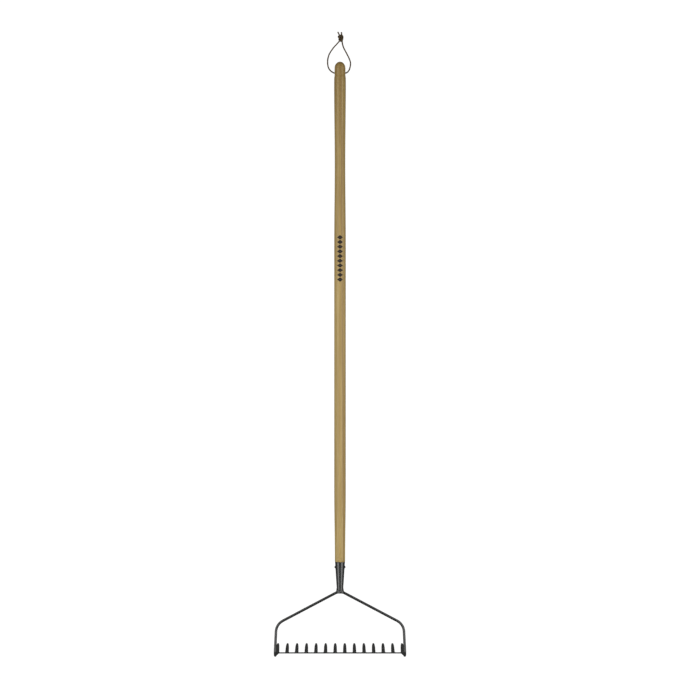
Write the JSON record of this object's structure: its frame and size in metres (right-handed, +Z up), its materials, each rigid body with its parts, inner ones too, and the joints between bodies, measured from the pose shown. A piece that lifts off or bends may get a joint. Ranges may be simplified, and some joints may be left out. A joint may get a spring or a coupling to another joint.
{
  "type": "garden rake",
  "caption": "Long-handled garden soil rake: waisted ash handle, riveted steel socket, bent-rod bow, flat comb of straight tines and a leather hanging loop.",
  "frame": {"origin": "on the surface that the rake lies on, at the middle of its box without the thong", "axes": "+X across the comb, +Y along the handle towards the hanging loop, +Z up, away from the surface; the rake lies tines down on its tine tips and on the end of its handle"},
  "size_m": [0.3472, 1.6404, 0.0897],
  "materials": {
    "ash": "clear satin lacquer over straight-grained ash",
    "coated_steel": "dark grey satin powder coat",
    "rivet_steel": "dark grey satin coat, rubbed on the dome",
    "weld_bead": "coated weld bead, slightly rippled",
    "leather": "brown waxed leather lace"
  },
  "bodies": {
    "rake": {"handle": "ash", "socket": "coated_steel", "socket_rivet": "rivet_steel", "bow": "coated_steel", "comb": "coated_steel", "socket_weld": "weld_bead", "comb_weld_left": "weld_bead", "comb_weld_right": "weld_bead"},
    "thong": {"thong_loop": "leather", "thong_knot": "leather", "thong_tail_left": "leather", "thong_tail_right": "leather"}
  },
  "joints": [
    {"name": "thong_swing", "type": "hinge", "parent": "rake", "child": "thong", "pos_m": [0, 0.75023, 0.0148], "axis": [1, 0, 0], "range_deg": [-150, 150]}
  ]
}
